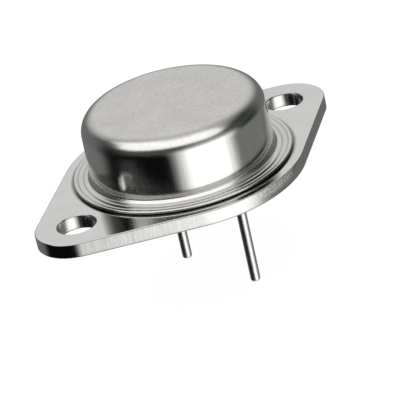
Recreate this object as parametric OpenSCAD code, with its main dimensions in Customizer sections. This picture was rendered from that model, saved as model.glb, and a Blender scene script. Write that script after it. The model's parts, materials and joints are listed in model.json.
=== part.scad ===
// Power transistor in a two-hole metal can, about 39 x 26 x 9 mm above its
// seating plane, with two round leads below it.
//
// The origin is the middle of the seating plane, half way between the two
// mounting holes. +X runs along the hole line towards the end that the leads
// are nearer to, and +Z points out of the can.

/* [Base plate] */
// Distance between the two mounting holes
hole_pitch = 30.15; // [29.5:0.05:31]
// Diameter of each mounting hole
hole_d = 4.1; // [3.8:0.05:4.4]
// Radius of the rounded ends, about each mounting hole
end_r = 4.42; // [4.2:0.02:4.8]
// Radius of the wide middle of the plate
middle_r = 13; // [12.8:0.05:13.4]
// Thickness of the plate
plate_t = 1.57; // [1.4:0.01:3.2]
// Radius of the soft edge round each mounting hole's upper rim
hole_rim_r = 0.14; // [0.05:0.01:0.3]

/* [Can] */
// Outside diameter of the can's wall at its foot
can_d = 19.7; // [19.4:0.05:20.2]
// Outside diameter of the can's wall below the top corner
can_top_d = 19.56; // [19.2:0.02:20.2]
// Height of the can's flat top above the seating plane
can_top_z = 8.78; // [8:0.02:9.5]
// Outside radius of the corner between wall and top
can_corner_r = 1.95; // [1.5:0.05:2.3]
// Thickness of the drawn sheet
can_t = 0.45; // [0.4:0.05:0.6]
// Diameter of the weld flange
flange_d = 23.5; // [23.2:0.05:24.2]
// Thickness of the weld flange
flange_t = 0.33; // [0.3:0.01:0.45]
// Gap between the flange's rim and the plate
flange_gap = 0.06; // [0.04:0.01:0.2]

/* [Leads] */
// Distance between the two leads
lead_pitch = 10.92; // [10.4:0.02:11.4]
// Distance of the lead row from the middle of the hole line
lead_row_x = 1.815; // [1.5:0.005:2.2]
// Diameter of each lead
lead_d = 1.05; // [0.95:0.01:1.15]
// Diameter of each lead from the glass upwards, where it isn't etched
lead_seal_d = 1.08; // [1.02:0.01:1.3]
// Height of the taper below the plate, down to the etched shaft
lead_neck = 0.6; // [0.55:0.05:1]
// Length of each lead below the seating plane
lead_l = 12.4; // [8:0.1:13]
// Radius of the rounded tip edge
lead_tip_r = 0.28; // [0.1:0.01:0.4]
// Diameter of the flat head inside the can, for the bonded wire
lead_head_d = 1.9; // [1.5:0.05:2.4]
// Thickness of that head
lead_head_t = 0.4; // [0.3:0.05:0.6]
// Height of the head's top above the plate
lead_head_z = 2.2; // [1.8:0.1:3]
// Diameter of the glass seal round each lead
seal_d = 3.4; // [3:0.1:3.6]

/* [Inside the can] */
// Length and width of the copper heat spreader
spreader_size = [9.4, 6.6]; // [6:0.1:10]
// Thickness of the heat spreader
spreader_t = 1.1; // [0.8:0.05:1.5]
// Corner radius of the heat spreader
spreader_corner_r = 0.8; // [0.3:0.1:1.5]
// Thickness of the braze under the spreader
braze_t = 0.08; // [0.05:0.01:0.12]
// Side of the square silicon die
die_side = 4.6; // [3:0.1:6]
// Thickness of the die
die_t = 0.3; // [0.2:0.01:0.5]
// Thickness of the solder under the die
solder_t = 0.1; // [0.05:0.01:0.15]
// How far the solder's fillet reaches past the die
solder_lip = 0.25; // [0.1:0.05:0.4]
// Diameter of the aluminium bond wires
wire_d = 0.38; // [0.25:0.01:0.5]
// Height of a bond wire's loop above the die
wire_loop = 1.1; // [0.8:0.1:1.6]

/* [Hidden] */

// Faces on a full circle, a small corner, an arc of the plate's outline and
// a wire's section
round_fn = 96;
corner_fn = 8;
outline_fn = 24;
wire_fn = 24;

hole_x = hole_pitch / 2;

// The straight flanks touch the middle arcs and the end arcs at this angle
flank_angle = acos((middle_r - end_r) / hole_x);

// Leads and the glass round them
lead_y = lead_pitch / 2;
base_lead_at = [lead_row_x, -lead_y];
emitter_lead_at = [lead_row_x, lead_y];
lead_top_z = plate_t + lead_head_z;
glass_meniscus = 0.15;

// Can: radii and heights of its outer profile
can_r = can_d / 2;
can_top_r = can_top_d / 2;
flange_r = flange_d / 2;
flange_z = plate_t + flange_gap;
flange_top_z = flange_z + flange_t;
flange_rim_r = flange_t / 2;
groove_w = 0.14;
groove_depth = 0.05;
groove_radii = [can_r + 1.48, can_r + 1.02];
ring_step = 0.06;
foot_r = 0.45;
foot_lip = 0.1;
foot_top_z = flange_top_z + ring_step + foot_r;
weld_in_r = can_r + 0.1;
weld_out_r = can_r + 0.95;

// Stack on the plate, from the bottom up
spreader_z = plate_t + braze_t;
solder_z = spreader_z + spreader_t;
die_z = solder_z + solder_t;
die_top_z = die_z + die_t;

// Wires run from the leads' heads to two pads on the die
wire_r = wire_d / 2;
base_pad_at = [0.6, -1.35];
emitter_pad_at = [0.1, 1.1];

// Points on an arc about c, from angle a0 to a1
function arc(c, r, a0, a1, n = corner_fn) =
    [for (i = [0:n]) let (a = a0 + (a1 - a0) * i / n)
        [c[0] + r * cos(a), c[1] + r * sin(a)]];

// Outline of the plate: two middle arcs and two end arcs, anticlockwise. The
// straight flanks join one arc's last point to the next one's first.
function plate_outline() =
    let (a = flank_angle)
        concat(arc([hole_x, 0], end_r, -a, a, outline_fn),
               arc([0, 0], middle_r, a, 180 - a, outline_fn),
               arc([-hole_x, 0], end_r, 180 - a, 180 + a, outline_fn),
               arc([0, 0], middle_r, 180 + a, 360 - a, outline_fn));

// Cutter for a mounting hole with a rounded upper rim
module mounting_hole() {
    r = hole_d / 2;
    translate([0, 0, -1])
        cylinder(r = r, h = plate_t + 2, $fn = round_fn);
    rotate_extrude($fn = round_fn)
        polygon(concat([[0, plate_t + 1], [0, plate_t - hole_rim_r],
                        [r, plate_t - hole_rim_r]],
                       [for (i = [1:corner_fn])
                           let (a = 90 * i / corner_fn)
                               [r + hole_rim_r * (1 - cos(a)),
                                plate_t - hole_rim_r * (1 - sin(a))]],
                       [[r + hole_rim_r, plate_t + 1]]));
}

module base_plate() {
    color([0.80, 0.79, 0.78])
        difference() {
            linear_extrude(plate_t) polygon(plate_outline());
            for (side = [-1, 1])
                translate([side * hole_x, 0, 0]) mounting_hole();
            for (at = [base_lead_at, emitter_lead_at])
                translate([at[0], at[1], -1])
                    cylinder(d = seal_d, h = plate_t + 2, $fn = round_fn);
        }
}

// Outer side of the can, from the flange's rim up to the middle of the top
function can_outside() = concat(
    // rolled rim of the flange
    arc([flange_r - flange_rim_r, flange_z + flange_rim_r], flange_rim_r,
        -90, 90),
    // two fine grooves, and the step up to the raised inner ring
    [for (r = groove_radii)
        each [[r + groove_w / 2, flange_top_z],
              [r, flange_top_z - groove_depth],
              [r - groove_w / 2, flange_top_z]]],
    [[groove_radii[1] - groove_w, flange_top_z + ring_step]],
    // hollow foot of the wall, and the fine lip above it
    arc([can_r + foot_lip + foot_r, foot_top_z], foot_r, 270, 180),
    [[can_r, foot_top_z + foot_lip]],
    // drawn wall and its top corner
    arc([can_top_r - can_corner_r, can_top_z - can_corner_r], can_corner_r,
        0, 90, corner_fn * 2),
    [[0, can_top_z]]);

// Inner side of the can, from the middle of the top down to the flange
function can_inside() = concat(
    [[0, can_top_z - can_t]],
    arc([can_top_r - can_corner_r, can_top_z - can_corner_r],
        can_corner_r - can_t, 90, 0, corner_fn * 2),
    [[can_r - can_t, flange_top_z + foot_r]],
    arc([can_r - can_t + foot_r, flange_z + foot_r], foot_r, 180, 225,
        corner_fn / 2),
    // weld ring that stands on the plate
    [[weld_in_r, flange_z],
     [weld_in_r + flange_gap, plate_t],
     [weld_out_r - flange_gap, plate_t],
     [weld_out_r, flange_z]]);

module can() {
    color([0.72, 0.71, 0.70])
        rotate_extrude($fn = round_fn)
            polygon(concat(can_outside(), can_inside()));
}

// A lead: rounded tip, shaft, taper, sealed stretch and flat bonding head
module lead(at) {
    shaft = lead_d / 2;
    sealed = lead_seal_d / 2;
    head = lead_head_d / 2;
    translate([at[0], at[1], 0])
        rotate_extrude($fn = round_fn)
            polygon(concat([[0, -lead_l]],
                           arc([shaft - lead_tip_r, lead_tip_r - lead_l],
                               lead_tip_r, -90, 0),
                           [[shaft, -lead_neck],
                            [sealed, 0],
                            [sealed, lead_top_z - lead_head_t],
                            [head, lead_top_z - lead_head_t],
                            [head, lead_top_z],
                            [0, lead_top_z]]));
}

module base_lead() {
    color([0.78, 0.77, 0.76]) lead(base_lead_at);
}

module emitter_lead() {
    color([0.78, 0.77, 0.76]) lead(emitter_lead_at);
}

// Glass bead fused between plate and lead, hollowed a little at both faces
module lead_glass(at) {
    outer = seal_d / 2;
    inner = lead_seal_d / 2;
    mid = (outer + inner) / 2;
    translate([at[0], at[1], 0])
        rotate_extrude($fn = round_fn)
            polygon([[inner, 0], [mid, glass_meniscus], [outer, 0],
                     [outer, plate_t], [mid, plate_t - glass_meniscus],
                     [inner, plate_t]]);
}

module base_lead_glass() {
    color([0.16, 0.22, 0.20]) lead_glass(base_lead_at);
}

module emitter_lead_glass() {
    color([0.16, 0.22, 0.20]) lead_glass(emitter_lead_at);
}

// A flat block with rounded corners, standing on z
module soft_block(size, corner, z, h) {
    half = [size[0] / 2 - corner, size[1] / 2 - corner];
    quadrants = [[1, 1], [-1, 1], [-1, -1], [1, -1]];
    translate([0, 0, z])
        linear_extrude(h)
            polygon([for (i = [0:3])
                each arc([quadrants[i][0] * half[0],
                          quadrants[i][1] * half[1]],
                         corner, 90 * i, 90 * i + 90)]);
}

module heat_spreader() {
    color([0.72, 0.45, 0.28])
        soft_block(spreader_size, spreader_corner_r, spreader_z, spreader_t);
}

module spreader_braze() {
    color([0.75, 0.73, 0.66])
        soft_block(spreader_size, spreader_corner_r, plate_t, braze_t);
}

module die_solder() {
    color([0.62, 0.62, 0.64])
        soft_block([die_side, die_side] + [solder_lip, solder_lip] * 2,
                   solder_lip, solder_z, solder_t);
}

module transistor_die() {
    color([0.32, 0.34, 0.40])
        translate([-die_side / 2, -die_side / 2, die_z])
            cube([die_side, die_side, die_t]);
}

// A point on a bond wire's loop: t runs from 0 on the head to 1 on the die
function loop_point(from, to, t) =
    let (rise = 4 * wire_loop * t * (1 - t))
        from + (to - from) * t + [0, 0, rise];

// Sweeps a round section along points that lie in one upright plane
module wire_sweep(points, heading) {
    n = len(points);
    side = [-sin(heading), cos(heading), 0];
    rings = [for (i = [0:n - 1])
        let (ahead = points[min(i + 1, n - 1)] - points[max(i - 1, 0)],
             up = cross(ahead / norm(ahead), side))
            for (k = [0:wire_fn - 1])
                let (a = 360 * k / wire_fn)
                    points[i] + wire_r * (side * cos(a) - up * sin(a))];
    polyhedron(
        points = rings,
        faces = concat(
            [[for (k = [0:wire_fn - 1]) k]],
            [for (i = [0:n - 2], k = [0:wire_fn - 1])
                let (next = (k + 1) % wire_fn)
                    [i * wire_fn + k, (i + 1) * wire_fn + k,
                     (i + 1) * wire_fn + next, i * wire_fn + next]],
            [[for (k = [wire_fn - 1:-1:0]) (n - 1) * wire_fn + k]]));
}

// A bond wire: its loop, cut flat where it is welded to head and die
module bond_wire(lead_at, pad_at) {
    from = [lead_at[0], lead_at[1], lead_top_z + wire_r * 0.6];
    to = [pad_at[0], pad_at[1], die_top_z + wire_r * 0.6];
    way = to - from;
    heading = atan2(way[1], way[0]);
    steps = 14;
    foot = 0.5 / norm(way);
    loop = [for (i = [0:steps]) loop_point(from, to, i / steps)];
    difference() {
        wire_sweep(concat([from - way * foot], loop, [to + way * foot]),
                   heading);
        translate([lead_at[0] - 2, lead_at[1] - 2, lead_top_z - 2])
            cube([4, 4, 2]);
        translate([pad_at[0] - 2, pad_at[1] - 2, die_top_z - 2])
            cube([4, 4, 2]);
    }
}

module base_bond_wire() {
    color([0.85, 0.85, 0.86]) bond_wire(base_lead_at, base_pad_at);
}

module emitter_bond_wire() {
    color([0.85, 0.85, 0.86]) bond_wire(emitter_lead_at, emitter_pad_at);
}

base_plate();
can();
base_lead();
emitter_lead();
base_lead_glass();
emitter_lead_glass();
heat_spreader();
spreader_braze();
die_solder();
transistor_die();
base_bond_wire();
emitter_bond_wire();
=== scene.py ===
import json
import math

import bmesh
import bpy
from mathutils import Matrix, Vector


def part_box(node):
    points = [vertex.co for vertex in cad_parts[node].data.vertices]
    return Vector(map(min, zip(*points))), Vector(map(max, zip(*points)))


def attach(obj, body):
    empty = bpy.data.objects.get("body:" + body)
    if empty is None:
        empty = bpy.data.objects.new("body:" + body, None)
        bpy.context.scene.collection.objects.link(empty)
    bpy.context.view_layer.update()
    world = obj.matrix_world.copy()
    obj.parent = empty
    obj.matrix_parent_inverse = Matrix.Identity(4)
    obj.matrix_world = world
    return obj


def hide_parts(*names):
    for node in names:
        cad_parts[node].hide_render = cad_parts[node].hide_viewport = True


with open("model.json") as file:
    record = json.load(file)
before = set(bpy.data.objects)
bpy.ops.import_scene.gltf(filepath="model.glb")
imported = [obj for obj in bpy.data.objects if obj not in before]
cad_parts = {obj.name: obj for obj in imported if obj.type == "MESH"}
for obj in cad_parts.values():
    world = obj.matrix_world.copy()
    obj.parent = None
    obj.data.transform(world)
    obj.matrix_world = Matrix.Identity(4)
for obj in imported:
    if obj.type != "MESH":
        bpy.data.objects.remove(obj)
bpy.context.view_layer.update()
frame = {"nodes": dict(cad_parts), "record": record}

# Shapes are drawn in millimetres and brought to metres when a piece is made.
MM = 0.001
ROUND_STEPS = 192
LEAD_STEPS = 64

# Leads: radius of the shaft, and of the part in the glass and above it.
SHAFT_RADIUS = 0.525
SEALED_RADIUS = 0.54


def box_mm(node):
    low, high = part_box(node)
    return low / MM, high / MM


def mount(name):
    mounts = {m["name"]: m for m in frame["record"]["mounts"]}
    return mounts[name]


# ---------------------------------------------------------------- drawing

class Pen:
    """Draws a line of edges in a mesh, point by point."""

    def __init__(self, mesh, start):
        self.mesh = mesh
        made = bmesh.ops.create_vert(mesh, co=start)
        self.tip = made["vert"][0]
        self.points = [self.tip]

    def line(self, *places):
        for place in places:
            grown = bmesh.ops.extrude_vert_indiv(self.mesh, verts=[self.tip])
            self.tip = grown["verts"][0]
            self.tip.co = place
            self.points.append(self.tip)
        return self

    def arc(self, centre, axis, degrees, steps):
        before = set(self.mesh.verts)
        swept = bmesh.ops.spin(
            self.mesh, geom=[self.tip], cent=centre, axis=axis,
            angle=math.radians(degrees), steps=steps, use_merge=False,
        )
        self.points += [v for v in self.mesh.verts if v not in before]
        self.tip = [g for g in swept["geom_last"] if isinstance(g, bmesh.types.BMVert)][0]
        return self

    def close(self):
        """Joins the last point to the first where they lie together."""
        bmesh.ops.remove_doubles(self.mesh, verts=self.points, dist=1e-5)
        self.points = [v for v in self.points if v.is_valid]
        return self

    def edges(self):
        return list({e for v in self.points for e in v.link_edges})


class Profile(Pen):
    """A pen that draws in the plane of radius and height."""

    def __init__(self, mesh, radius, height):
        super().__init__(mesh, (radius, 0, height))

    def to(self, *places):
        return self.line(*[(radius, 0, height) for radius, height in places])

    def bend(self, radius, height, degrees, steps=8):
        """Turns about a centre; positive degrees go from +Z towards +X."""
        return self.arc((radius, 0, height), (0, 1, 0), degrees, steps)

    def turn_round(self, steps=ROUND_STEPS):
        """Spins the line once round Z."""
        bmesh.ops.spin(
            self.mesh, geom=self.points + self.edges(), cent=(0, 0, 0),
            axis=(0, 0, 1), angle=math.tau, steps=steps, use_merge=True,
        )
        bmesh.ops.remove_doubles(self.mesh, verts=self.mesh.verts[:], dist=1e-5)


def make_piece(name, mesh, replaced, material, crease=32):
    """Finishes a drawn mesh as a named piece that stands for a CAD node."""
    bmesh.ops.dissolve_degenerate(mesh, edges=mesh.edges[:], dist=1e-6)
    bmesh.ops.recalc_face_normals(mesh, faces=mesh.faces[:])
    bmesh.ops.scale(mesh, vec=(MM, MM, MM), verts=mesh.verts[:])
    for face in mesh.faces:
        face.smooth = True
    for edge in mesh.edges:
        sharp = edge.is_manifold and edge.calc_face_angle() > math.radians(crease)
        edge.smooth = not sharp
    data = bpy.data.meshes.new(name)
    mesh.to_mesh(data)
    mesh.free()
    piece = bpy.data.objects.new(name, data)
    bpy.context.scene.collection.objects.link(piece)
    piece.data.materials.append(material)
    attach(piece, "root")
    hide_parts(replaced)
    return piece


# ---------------------------------------------------------------- shading

class Signal:
    """A socket that Python's operators act on by adding Math nodes."""

    def __init__(self, board, socket):
        self.board = board
        self.socket = socket

    def __add__(self, other):
        return self.board.maths("ADD", self, other)

    def __radd__(self, other):
        return self.board.maths("ADD", other, self)

    def __sub__(self, other):
        return self.board.maths("SUBTRACT", self, other)

    def __rsub__(self, other):
        return self.board.maths("SUBTRACT", other, self)

    def __mul__(self, other):
        return self.board.maths("MULTIPLY", self, other)

    def __rmul__(self, other):
        return self.board.maths("MULTIPLY", other, self)

    def __truediv__(self, other):
        return self.board.maths("DIVIDE", self, other)

    def __pow__(self, other):
        return self.board.maths("POWER", self, other)

    def __abs__(self):
        return self.board.maths("ABSOLUTE", self)

    def highest(self, other):
        return self.board.maths("MAXIMUM", self, other)

    def lowest(self, other):
        return self.board.maths("MINIMUM", self, other)

    def ramp(self, start, end, low=0.0, high=1.0):
        """Eases from low to high as this value goes from start to end."""
        settings = {"interpolation_type": "SMOOTHSTEP", "clamp": True}
        if start > end:
            start, end, low, high = end, start, high, low
        sockets = {
            "Value": self, "From Min": start, "From Max": end, "To Min": low, "To Max": high,
        }
        return self.board.add("ShaderNodeMapRange", settings, sockets)

    def angle_about(self, across):
        return self.board.maths("ARCTAN2", self, across)


class Board:
    """A node tree that is filled by one method."""

    def __init__(self, tree):
        self.tree = tree
        tree.nodes.clear()

    def add(self, kind, settings=None, sockets=None, out=0):
        """Adds one node; its settings are made before its sockets are filled."""
        node = self.tree.nodes.new(kind)
        for name, value in (settings or {}).items():
            setattr(node, name, value)
        for name, value in (sockets or {}).items():
            if isinstance(value, Signal):
                self.tree.links.new(value.socket, node.inputs[name])
            else:
                node.inputs[name].default_value = value
        return Signal(self, node.outputs[out]) if node.outputs else node

    def maths(self, operation, *values):
        sockets = dict(enumerate(values))
        return self.add("ShaderNodeMath", {"operation": operation}, sockets)

    def parts(self, vector):
        split = self.add("ShaderNodeSeparateXYZ", None, {0: vector})
        return [Signal(self, socket) for socket in split.socket.node.outputs]

    def join(self, x, y, z):
        return self.add("ShaderNodeCombineXYZ", None, {0: x, 1: y, 2: z})

    def blend(self, mask, first, second):
        settings = {"data_type": "RGBA"}
        return self.add("ShaderNodeMix", settings, {0: mask, 6: first, 7: second}, out=2)

    def shade(self, mask, first, second):
        settings = {"data_type": "FLOAT"}
        return self.add("ShaderNodeMix", settings, {0: mask, 2: first, 3: second}, out=0)

    def noise(self, vector, scale, detail=3.0, rough=0.5, twist=0.0):
        sockets = {
            "Vector": vector, "Scale": scale, "Detail": detail,
            "Roughness": rough, "Distortion": twist,
        }
        return self.add("ShaderNodeTexNoise", None, sockets)

    def bump(self, height, distance, strength=1.0, under=None):
        """A relief whose height of 1 stands for a distance in metres."""
        sockets = {"Height": height, "Distance": distance, "Strength": strength}
        if under:
            sockets["Normal"] = under
        return self.add("ShaderNodeBump", None, sockets)


class Finish(Board):
    """A surface material, with the piece's own coordinates in millimetres."""

    def __init__(self, name):
        self.material = bpy.data.materials.new(name)
        self.material.use_nodes = True
        super().__init__(self.material.node_tree)
        place = self.add("ShaderNodeTexCoord", None, None, out="Object")
        settings = {"operation": "SCALE"}
        self.place = self.add("ShaderNodeVectorMath", settings, {0: place, "Scale": 1 / MM})
        self.x, self.y, self.z = self.parts(self.place)
        self.radius = (self.x * self.x + self.y * self.y) ** 0.5
        self.heading = self.y.angle_about(self.x)

    def surface(self, sockets):
        shader = self.add("ShaderNodeBsdfPrincipled", None, sockets)
        self.add("ShaderNodeOutputMaterial", None, {"Surface": shader})
        return self.material


# Plated nickel is a warm light grey metal, a little darker where it is worn.
NICKEL = (0.655, 0.645, 0.622, 1)
NICKEL_BRIGHT = (0.72, 0.715, 0.70, 1)
NICKEL_DULL = (0.60, 0.592, 0.57, 1)


def can_finish(top, wall_radius):
    """Drawn can: grained flat top, smooth corner, fine draw lines on the wall."""
    paint = Finish("plated_can")
    on_top = paint.z.ramp(top - 0.10, top - 0.01)
    on_wall = paint.z.ramp(2.4, 2.9) * paint.z.ramp(top - 0.9, top - 1.7)
    on_flange = paint.z.ramp(2.3, 2.0)
    cloud = paint.noise(paint.place, 0.35, 4, 0.55)
    grain = paint.noise(paint.place, 5.5, 4, 0.65)
    fine_grain = paint.noise(paint.place, 13.0, 2, 0.6)
    round_wall = paint.join(paint.heading * (wall_radius * 3.2), 0.0, paint.z * 0.16)
    draw_lines = paint.noise(round_wall, 1.0, 5, 0.62)
    turned = paint.join(paint.radius * 9.0, paint.heading * 0.4, 0.0)
    turning = paint.noise(turned, 1.0, 2, 0.5)
    coarse = paint.noise(paint.place, 2.6, 4, 0.7)
    mottle = cloud * 0.35 + coarse * 0.65
    plain = paint.blend(mottle.ramp(0.36, 0.64), NICKEL_DULL, NICKEL)
    bright = paint.blend(draw_lines.ramp(0.35, 0.65), NICKEL, NICKEL_BRIGHT)
    top_colour = paint.blend(
        mottle.ramp(0.3, 0.7), (0.58, 0.57, 0.552, 1), (0.74, 0.73, 0.71, 1),
    )
    colour = paint.blend(on_wall, plain, bright)
    colour = paint.blend(on_top, colour, top_colour)
    rough = 0.145 + on_top * 0.195 + on_flange * 0.03 + cloud * 0.05
    on_corner = paint.z.ramp(top - 2.1, top - 1.4) * (1 - on_top)
    on_foot = paint.z.ramp(3.0, 2.5) * (1 - on_flange)
    rough = rough + on_wall * (draw_lines - 0.5) * 0.08 - 0.03
    rough = rough + on_corner * 0.10 + on_foot * 0.10
    flat = on_top * paint.radius.ramp(7.8, 6.4)
    relief = fine_grain * flat * 0.7 + grain * (0.04 + flat * 0.6)
    relief = relief + draw_lines * on_wall * 0.5 + turning * on_flange * 0.35
    normal = paint.bump(relief, 0.0000035)
    return paint.surface({
        "Base Color": colour, "Metallic": 1.0, "Roughness": rough, "Normal": normal,
    })


def plate_finish(thick):
    """Stamped plate: satin faces, upright shear lines and a torn patch on the edge, with painted
    shade along its edges and round the can's flange.
    """
    paint = Finish("plated_plate")
    on_edge = paint.z.ramp(0.05, 0.12) * paint.z.ramp(thick - 0.05, thick - 0.12)
    under = paint.z.ramp(0.05, 0.01)
    cloud = paint.noise(paint.place, 0.3, 4, 0.55)
    grain = paint.noise(paint.place, 11.0, 4, 0.62)
    upright = paint.join(paint.x * 3.4, paint.y * 3.4, paint.z * 0.25)
    shear = paint.noise(upright, 1.0, 5, 0.7)
    sheared = on_edge * paint.x.ramp(-17.9, -17.0)
    lines = sheared * paint.x.ramp(-8.0, -12.5, 0.35, 1.0)
    broad = paint.join(paint.x * 1.1, paint.y * 1.1, paint.z * 0.1)
    shear_wide = paint.noise(broad, 1.0, 2, 0.5)
    torn_area = paint.x.ramp(-2.6, 1.2) * paint.x.ramp(5.6, 3.4) * paint.y.ramp(-11.4, -12.0)
    torn_area = torn_area * paint.z.ramp(0.25, 1.0)
    torn_noise = paint.noise(paint.place, 3.6, 5, 0.78)
    ragged = torn_noise.ramp(0.48, 0.38)
    glint = torn_area * on_edge * torn_noise.ramp(0.56, 0.64)
    torn = torn_area * ragged * on_edge
    low_break = on_edge * (paint.z + (shear_wide - 0.5) * 0.5).ramp(0.42, 0.2) * 0.6
    face_colour = paint.blend((cloud * 0.6 + grain * 0.4).ramp(0.34, 0.66),
                              (0.63, 0.625, 0.61, 1), (0.70, 0.695, 0.68, 1))
    edge_colour = paint.blend((shear - 0.5) * lines * 1.7 + 0.65,
                              (0.40, 0.395, 0.38, 1), (0.73, 0.725, 0.71, 1))
    colour = paint.blend(on_edge, face_colour, edge_colour)
    # Painted shade: a dark ring on the plate's top round the foot of the can's flange, standing in
    # for the contact shadow and the dark reflection of the flange rim.
    painted_flange_shade = paint.radius.ramp(11.5, 11.65) * paint.radius.ramp(12.2, 11.82)
    painted_flange_shade = painted_flange_shade * paint.z.ramp(thick * 0.5, thick * 0.9)
    colour = paint.blend(painted_flange_shade * (1 - on_edge) * 0.75, colour, (0.06, 0.065, 0.06, 1))
    # Painted shade: a dark line along the rounding of the plate's top edge.
    rim = paint.z.ramp(thick - 0.12, thick - 0.08) * paint.z.ramp(thick - 0.005, thick - 0.03)
    colour = paint.blend(rim * 0.45, colour, (0.2, 0.2, 0.19, 1))
    # Painted shade: a dark line along the rounding of the plate's lower edge.
    painted_low_edge_shade = paint.z.ramp(0.001, 0.01) * paint.z.ramp(0.19, 0.10)
    colour = paint.blend(painted_low_edge_shade * 0.7, colour, (0.12, 0.12, 0.115, 1))
    colour = paint.blend(torn * 0.8, colour, (0.34, 0.335, 0.32, 1))
    colour = paint.blend(glint, colour, (1.0, 1.0, 0.98, 1))
    rough = 0.06 + cloud * 0.03 + grain * 0.06 + under * 0.16 + on_edge * 0.05
    rough = rough + sheared * 0.05 + lines * (shear - 0.35) * 0.25
    rough = rough + low_break * sheared * 0.12 + torn * 0.2
    relief = grain * (1 - on_edge) * 0.35 + shear * lines * 2.0 + shear_wide * lines * 0.8
    normal = paint.bump(relief, 0.0000045)
    normal = paint.bump(torn_noise * torn_area * on_edge, 0.00014, 1.0, normal)
    return paint.surface({
        "Base Color": colour, "Metallic": 1.0, "Roughness": rough, "Normal": normal,
    })


def lead_finish():
    """Polished round lead with faint drawing lines along it."""
    paint = Finish("plated_lead")
    along = paint.join(paint.x * 9.0, paint.y * 9.0, paint.z * 0.35)
    lines = paint.noise(along, 1.0, 3, 0.6)
    cloud = paint.noise(paint.place, 0.7, 3, 0.5)
    colour = paint.blend((lines * 0.5 + cloud * 0.5).ramp(0.35, 0.62), NICKEL, NICKEL_BRIGHT)
    rough = 0.30 + cloud * 0.07 + lines * 0.06
    normal = paint.bump(lines, 0.0000025)
    return paint.surface({
        "Base Color": colour, "Metallic": 1.0, "Roughness": rough, "Normal": normal,
    })


def glass_finish():
    """Dark fused glass with a few small bubbles under its skin."""
    paint = Finish("seal_glass")
    flow = paint.noise(paint.place, 1.6, 3, 0.5, 0.6)
    bubbles = paint.add("ShaderNodeTexVoronoi", None, {"Vector": paint.place, "Scale": 3.2})
    bubble = bubbles.ramp(0.16, 0.08)
    colour = paint.blend(flow.ramp(0.3, 0.7), (0.018, 0.028, 0.025, 1), (0.05, 0.075, 0.066, 1))
    colour = paint.blend(bubble * 0.5, colour, (0.22, 0.27, 0.25, 1))
    rough = 0.07 + flow * 0.08
    normal = paint.bump(flow - bubble * 0.5, 0.00001)
    return paint.surface({
        "Base Color": colour, "Roughness": rough, "Normal": normal, "IOR": 1.5, "Coat Weight": 0.3,
    })


def satin_metal(name, dark, light, rough_low, rough_high, grain_scale):
    """A plain metal with cloudy tarnish and a rolled grain along X."""
    paint = Finish(name)
    cloud = paint.noise(paint.place, 0.8, 4, 0.6)
    rolled = paint.join(paint.x * 0.6, paint.y * grain_scale, paint.z * grain_scale)
    grain = paint.noise(rolled, 1.0, 3, 0.6)
    colour = paint.blend((cloud * 0.65 + grain * 0.35).ramp(0.33, 0.67), dark, light)
    rough = paint.shade(cloud, rough_low, rough_high)
    normal = paint.bump(grain, 0.000004)
    return paint.surface({
        "Base Color": colour, "Metallic": 1.0, "Roughness": rough, "Normal": normal,
    })


def die_finish(centre, side):
    """Polished silicon with two bright bonding pads and a dull sawn margin."""
    paint = Finish("silicon")
    low_x, low_y = centre[0] - side / 2, centre[1] - side / 2
    across = paint.x - low_x
    along = paint.y - low_y
    border = across.lowest(side - across).lowest(along.lowest(side - along))
    margin = border.ramp(0.22, 0.18)
    base_pad = abs(paint.x - 0.6).ramp(0.85, 0.8) * abs(paint.y + 1.35).ramp(0.5, 0.45)
    emitter_pad = abs(paint.x - 0.1).ramp(1.6, 1.55) * abs(paint.y - 1.0).ramp(0.8, 0.75)
    pads = base_pad + emitter_pad
    fingers = abs(paint.maths("PINGPONG", paint.x * 2.4, 0.5)).ramp(0.2, 0.3)
    metal = (pads + fingers * (1 - margin) * 0.5).lowest(1.0)
    cloud = paint.noise(paint.place, 1.5, 3, 0.5)
    silicon = paint.blend(cloud, (0.075, 0.085, 0.12, 1), (0.12, 0.13, 0.17, 1))
    colour = paint.blend(metal, silicon, (0.78, 0.78, 0.78, 1))
    colour = paint.blend(margin, colour, (0.16, 0.16, 0.17, 1))
    rough = 0.12 + margin * 0.4 + metal * 0.12 + cloud * 0.05
    return paint.surface({
        "Base Color": colour, "Metallic": metal * 0.85 + 0.1, "Roughness": rough,
    })


# ---------------------------------------------------------------- the pieces

def outline_ring(mesh, inset, height, hole_x, end_radius, middle_radius):
    """The plate's outline at one height, drawn in by inset."""
    end = end_radius - inset
    middle = middle_radius - inset
    lean = math.acos((middle_radius - end_radius) / hole_x)
    lean_deg = math.degrees(lean)
    upright = (0, 0, 1)

    def on(centre_x, radius, angle):
        return (centre_x + radius * math.cos(angle), radius * math.sin(angle), height)

    pen = Pen(mesh, on(hole_x, end, -lean))
    pen.arc((hole_x, 0, height), upright, 2 * lean_deg, 36)
    pen.line(on(0, middle, lean))
    pen.arc((0, 0, height), upright, 180 - 2 * lean_deg, 48)
    pen.line(on(-hole_x, end, math.pi - lean))
    pen.arc((-hole_x, 0, height), upright, 2 * lean_deg, 36)
    pen.line(on(0, middle, math.pi + lean))
    pen.arc((0, 0, height), upright, 180 - 2 * lean_deg, 48)
    pen.line(on(hole_x, end, -lean))
    return pen.close().edges()


def hole_ring(mesh, x, y, radius, height, steps):
    turned = Matrix.Translation((x, y, height))
    made = bmesh.ops.create_circle(
        mesh, cap_ends=False, radius=radius, segments=steps, matrix=turned,
    )
    return list({e for v in made["verts"] for e in v.link_edges})


def join_rings(mesh, rings):
    for lower, upper in zip(rings, rings[1:]):
        bmesh.ops.bridge_loops(mesh, edges=lower + upper)


def rounded_steps(thick, low_round, top_round, support=0.05, steps=5):
    """How far in and how high the edge's rings lie, from the underside up."""
    rings = [
        (low_round + support, 0), (low_round, 0), (0, low_round), (0, low_round + support),
        (0, thick - top_round - support),
    ]
    for i in range(steps + 1):
        turn = math.pi / 2 * i / steps
        inward = top_round * (1 - math.cos(turn))
        rings.append((inward, thick - top_round * (1 - math.sin(turn))))
    rings.append((top_round + support, thick))
    return rings


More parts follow.
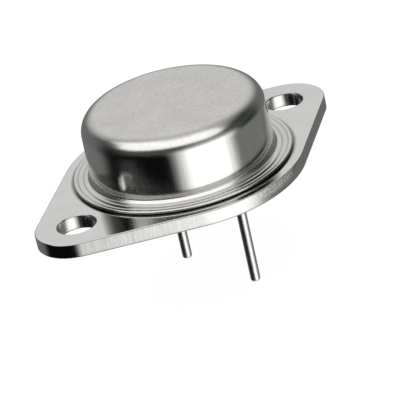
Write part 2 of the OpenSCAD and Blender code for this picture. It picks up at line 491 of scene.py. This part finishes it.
def build_plate(leads, glass_radius):
    """The stamped plate, with soft edges and with holes for screws and seals."""
    low, high = box_mm("base_plate")
    thick, middle_radius = high.z, high.y
    hole_x = mount("mounting_holes")["dims"]["spacing_x_mm"] / 2
    hole_radius = mount("mounting_holes")["dims"]["hole_r_mm"]
    end_radius = high.x - hole_x
    mesh = bmesh.new()
    sizes = (hole_x, end_radius, middle_radius)
    rims = [[outline_ring(mesh, inset, height, *sizes)
             for inset, height in rounded_steps(thick, 0.09, 0.12)]]
    for side in (-1, 1):
        rims.append([hole_ring(mesh, side * hole_x, 0, hole_radius + inset, height, 96)
                     for inset, height in rounded_steps(thick, 0.06, 0.14)])
    for x, y in leads:
        rims.append([hole_ring(mesh, x, y, glass_radius, height, 64)
                     for height in (0, thick)])
    for rings in rims:
        join_rings(mesh, rings)
    for level, way in ((0, -1), (-1, 1)):
        edges = [edge for rings in rims for edge in rings[level]]
        bmesh.ops.triangle_fill(mesh, use_beauty=True, edges=edges, normal=(0, 0, way))
    return make_piece("plate", mesh, "base_plate", plate_finish(thick))


def build_can():
    """A closed shell: rim, grooved flange, foot ring, wall, corner, top and back inside."""
    low, high = box_mm("can")
    plate_top = low.z
    top, flange = high.z, high.x
    rim = 0.165
    under = plate_top + 0.06
    upper = under + 2 * rim
    wall = 9.85
    top_wall = 9.78
    corner = 1.95
    sheet = 0.45
    mesh = bmesh.new()
    line = Profile(mesh, flange - rim, under)
    line.bend(flange - rim, under + rim, -180, 12)
    for groove in (wall + 1.42, wall + 0.80):
        line.to((groove + 0.11, upper), (groove + 0.07, upper - 0.012), (groove, upper - 0.05),
                (groove - 0.07, upper - 0.012), (groove - 0.11, upper))
    line.to((wall + 0.36, upper + 0.005), (wall + 0.30, upper + 0.02), (wall + 0.263, upper + 0.05))
    line.to((wall + 0.073, upper + 0.24))
    line.bend(wall + 0.25, upper + 0.417, 45, 8)
    line.to((wall - 0.003, upper + 0.5), (wall - 0.035, (upper + top) / 2))
    line.to((top_wall, top - corner - 0.1), (top_wall, top - corner))
    line.bend(top_wall - corner, top - corner, -90, 20)
    line.to((top_wall - corner - 0.12, top), (4, top), (0, top), (0, top - sheet))
    line.to((4, top - sheet), (top_wall - corner, top - sheet))
    line.bend(top_wall - corner, top - corner, 90, 12)
    line.to((wall - sheet, under + 0.9))
    line.to((wall - sheet + 0.02, under + 0.35), (wall - sheet + 0.13, under + 0.13))
    line.to((wall + 0.1, under), (wall + 0.16, plate_top), (wall + 0.89, plate_top))
    line.to((wall + 0.95, under), (flange - rim, under))
    line.close().turn_round()
    return make_piece("can_shell", mesh, "can", can_finish(top, wall))


def build_lead(node, material):
    """A pin with a rounded tip, a short taper under the plate and a flat head."""
    low, high = box_mm(node)
    x, y = (low.x + high.x) / 2, (low.y + high.y) / 2
    head = (high.x - low.x) / 2
    shaft, sealed = SHAFT_RADIUS, SEALED_RADIUS
    taper_end = -0.6
    glass_top = 1.57
    tip = 0.28
    mesh = bmesh.new()
    line = Profile(mesh, 0, low.z)
    line.to((shaft - tip - 0.05, low.z), (shaft - tip, low.z))
    line.bend(shaft - tip, low.z + tip, -90, 8)
    line.to((shaft, low.z + tip + 0.1), (shaft, taper_end), (sealed, 0), (sealed, glass_top))
    line.to((sealed, high.z - 0.4), (head - 0.08, high.z - 0.4), (head, high.z - 0.32))
    line.to((head, high.z - 0.1), (head - 0.1, high.z), (0, high.z))
    line.turn_round(LEAD_STEPS)
    bmesh.ops.translate(mesh, vec=(x, y, 0), verts=mesh.verts[:])
    return make_piece(node + "_pin", mesh, node, material)


def build_glass(node, material):
    """A ring of glass with a shallow hollow in each face."""
    low, high = box_mm(node)
    x, y = (low.x + high.x) / 2, (low.y + high.y) / 2
    outer, inner = (high.x - low.x) / 2, SEALED_RADIUS
    dip = 0.15
    mesh = bmesh.new()
    line = Profile(mesh, inner, 0)
    span = outer - inner
    hollow = ((0.12, 0.45), (0.3, 0.85), (0.5, 1.0), (0.7, 0.85), (0.88, 0.45))
    for share, depth in hollow + ((1, 0),):
        line.to((inner + span * share, dip * depth))
    line.to((outer, high.z))
    for share, depth in hollow[::-1] + ((0, 0),):
        line.to((inner + span * share, high.z - dip * depth))
    line.to((inner, 0))
    line.close().turn_round(LEAD_STEPS)
    bmesh.ops.translate(mesh, vec=(x, y, 0), verts=mesh.verts[:])
    return make_piece(node + "_bead", mesh, node, material)


def finish_node(node, material):
    """Gives a CAD node that keeps its shape a new material."""
    for place in frame["nodes"][node].material_slots:
        place.material = material


def finish_inside():
    copper = satin_metal("copper", (0.60, 0.30, 0.18, 1), (0.80, 0.47, 0.31, 1), 0.22, 0.38, 7.0)
    braze = satin_metal("braze", (0.62, 0.58, 0.46, 1), (0.78, 0.75, 0.64, 1), 0.2, 0.42, 3.0)
    solder = satin_metal("solder", (0.42, 0.42, 0.44, 1), (0.60, 0.60, 0.62, 1), 0.3, 0.5, 2.0)
    wire = satin_metal("bond_wire", (0.72, 0.72, 0.73, 1), (0.86, 0.86, 0.87, 1), 0.14, 0.26, 9.0)
    finish_node("heat_spreader", copper)
    finish_node("spreader_braze", braze)
    finish_node("die_solder", solder)
    low, high = box_mm("transistor_die")
    centre = (low + high) / 2
    finish_node("transistor_die", die_finish((centre.x, centre.y), high.x - low.x))
    finish_node("base_bond_wire", wire)
    finish_node("emitter_bond_wire", wire)


# ---------------------------------------------------------------- the studio

def aimed(heading, height):
    a, e = math.radians(heading), math.radians(height)
    return (math.cos(a) * math.cos(e), math.sin(a) * math.cos(e), math.sin(e))


class Sky(Board):
    """The room's soft light, as a brightness for each direction."""

    def __init__(self, world):
        world.use_nodes = True
        super().__init__(world.node_tree)
        self.way = self.add("ShaderNodeTexCoord", None, None, out="Generated")
        x, y, z = self.parts(self.way)
        self.heading = y.angle_about(x) * (180 / math.pi)
        self.height = self.maths("ARCSINE", z) * (180 / math.pi)

    def panel(self, heading, height, half_wide, half_high, soft_side, soft_end):
        """A soft-edged panel, by compass heading and height in degrees."""
        off = self.maths("WRAP", self.heading - heading, 180.0, -180.0)
        side = abs(off).ramp(half_wide + soft_side, half_wide - soft_side)
        end = abs(self.height - height).ramp(half_high + soft_end, half_high - soft_end)
        return side * end

    def along(self, direction):
        settings = {"operation": "DOT_PRODUCT"}
        sockets = {0: self.way, 1: direction}
        return self.add("ShaderNodeVectorMath", settings, sockets, out="Value")

    def round_light(self, heading, height, reach, soft):
        """A soft round light of a given angular radius."""
        dot = self.along(aimed(heading, height)).lowest(0.99999)
        off = self.maths("ARCCOSINE", dot) * (180 / math.pi)
        return off.ramp(reach + soft, reach - soft)

    def soft_box(self, heading, height, half_wide, half_high, soft):
        """A flat oval soft box that faces the part; sizes are per unit of distance."""
        ahead = self.along(aimed(heading, height)).highest(0.05)
        side = self.along(aimed(heading + 90, 0)) / ahead / half_wide
        rise = self.along(aimed(heading + 180, 90 - height)) / ahead / half_high
        reach = (side * side + rise * rise) ** 0.5
        return reach.ramp(1 + soft, 1 - soft)


def light_room():
    """Pale backdrop to the eye; soft boxes and a dark room in reflections."""
    world = bpy.data.worlds.new("studio")
    bpy.context.scene.world = world
    sky = Sky(world)
    level = sky.height.ramp(30, 74, 0.004, 0.68)
    back = sky.round_light(51, 45, 38, 20) * 0.86
    right = sky.panel(25, -10, 38, 42, 18, 14) * 0.19
    low_right = sky.panel(-25, -32, 34, 22, 12, 10) * 0.22
    left = sky.panel(91, -12, 36, 38, 14, 14) * 0.19
    table = sky.panel(-96, -42, 33, 47, 17, 11) * 1.8
    ground = sky.height.ramp(-42, -62) * 0.5
    key = sky.soft_box(-140, 62, 1.4, 0.54, 0.08) * sky.height.ramp(89, 67, 0.7, 1.6)
    fill = sky.panel(-93, 14, 26, 7, 16, 7) * 0.5
    dim_fill = sky.panel(-160, 11, 42, 8, 16, 8) * 0.08
    left_key = sky.panel(148, 54, 30, 11, 10, 5) * 1.5
    dim_right = sky.panel(-45, 14, 30, 10, 12, 8) * 0.07
    light = level
    for lamp in (back, right, low_right, left, table, key, ground, fill,
                 dim_fill, left_key, dim_right):
        light = light.highest(lamp)
    tint = sky.blend(light.ramp(0.19, 0.03), (1, 1, 1, 1), (0.78, 1.0, 0.89, 1))
    room = sky.add("ShaderNodeBackground", None, {"Color": tint, "Strength": light})
    backdrop = sky.add("ShaderNodeBackground", None, {"Color": (1, 1, 1, 1), "Strength": 0.93})
    seen = sky.add("ShaderNodeLightPath", None, None, out="Is Camera Ray")
    both = sky.add("ShaderNodeMixShader", None, {0: seen, 1: room, 2: backdrop})
    sky.add("ShaderNodeOutputWorld", None, {"Surface": both})


def lay_floor():
    """A plain pale table top that the lead tips stand on."""
    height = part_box("base_lead")[0].z
    mesh = bmesh.new()
    bmesh.ops.create_circle(
        mesh, cap_ends=True, radius=4.0, segments=96, matrix=Matrix.Translation((0, 0, height)),
    )
    data = bpy.data.meshes.new("floor")
    mesh.to_mesh(data)
    mesh.free()
    floor = bpy.data.objects.new("floor", data)
    bpy.context.scene.collection.objects.link(floor)
    paint = Finish("floor_paper")
    fibre = paint.noise(paint.place, 0.4, 3, 0.5)
    colour = paint.blend(fibre, (0.10, 0.10, 0.10, 1), (0.12, 0.12, 0.12, 1))
    floor.data.materials.append(paint.surface({
        "Base Color": colour, "Roughness": 0.9, "Specular IOR Level": 0.0,
        "Emission Color": (1, 1, 1, 1), "Emission Strength": 0.95,
    }))
    floor.visible_glossy = False


def place_camera():
    """Looks down on the nearer long side from the left."""
    azimuth, elevation, roll = -37.19, 26.13, -12.77
    distance = 0.2841
    aim = Vector((-0.14, -1.54, -2.67)) * MM
    a, e = math.radians(azimuth), math.radians(elevation)
    back = Vector((math.sin(a) * math.cos(e), -math.cos(a) * math.cos(e), math.sin(e)))
    data = bpy.data.cameras.new("camera")
    data.sensor_width = 36
    data.lens = 242.9
    data.clip_start = 0.01
    data.clip_end = 20
    camera = bpy.data.objects.new("camera", data)
    bpy.context.scene.collection.objects.link(camera)
    level = (-back).to_track_quat("-Z", "Y").to_matrix().to_4x4()
    turned = level @ Matrix.Rotation(math.radians(roll), 4, "Z")
    camera.matrix_world = Matrix.Translation(aim + back * distance) @ turned
    bpy.context.scene.camera = camera


def build_part():
    pin_metal = lead_finish()
    glass = glass_finish()
    leads = []
    for node in ("base_lead", "emitter_lead"):
        low, high = box_mm(node)
        leads.append(((low.x + high.x) / 2, (low.y + high.y) / 2))
        build_lead(node, pin_metal)
    for node in ("base_lead_glass", "emitter_lead_glass"):
        build_glass(node, glass)
    low, high = box_mm("base_lead_glass")
    build_plate(leads, (high.x - low.x) / 2)
    build_can()
    finish_inside()


bpy.context.scene.view_settings.view_transform = "Standard"
place_camera()
light_room()
lay_floor()
build_part()
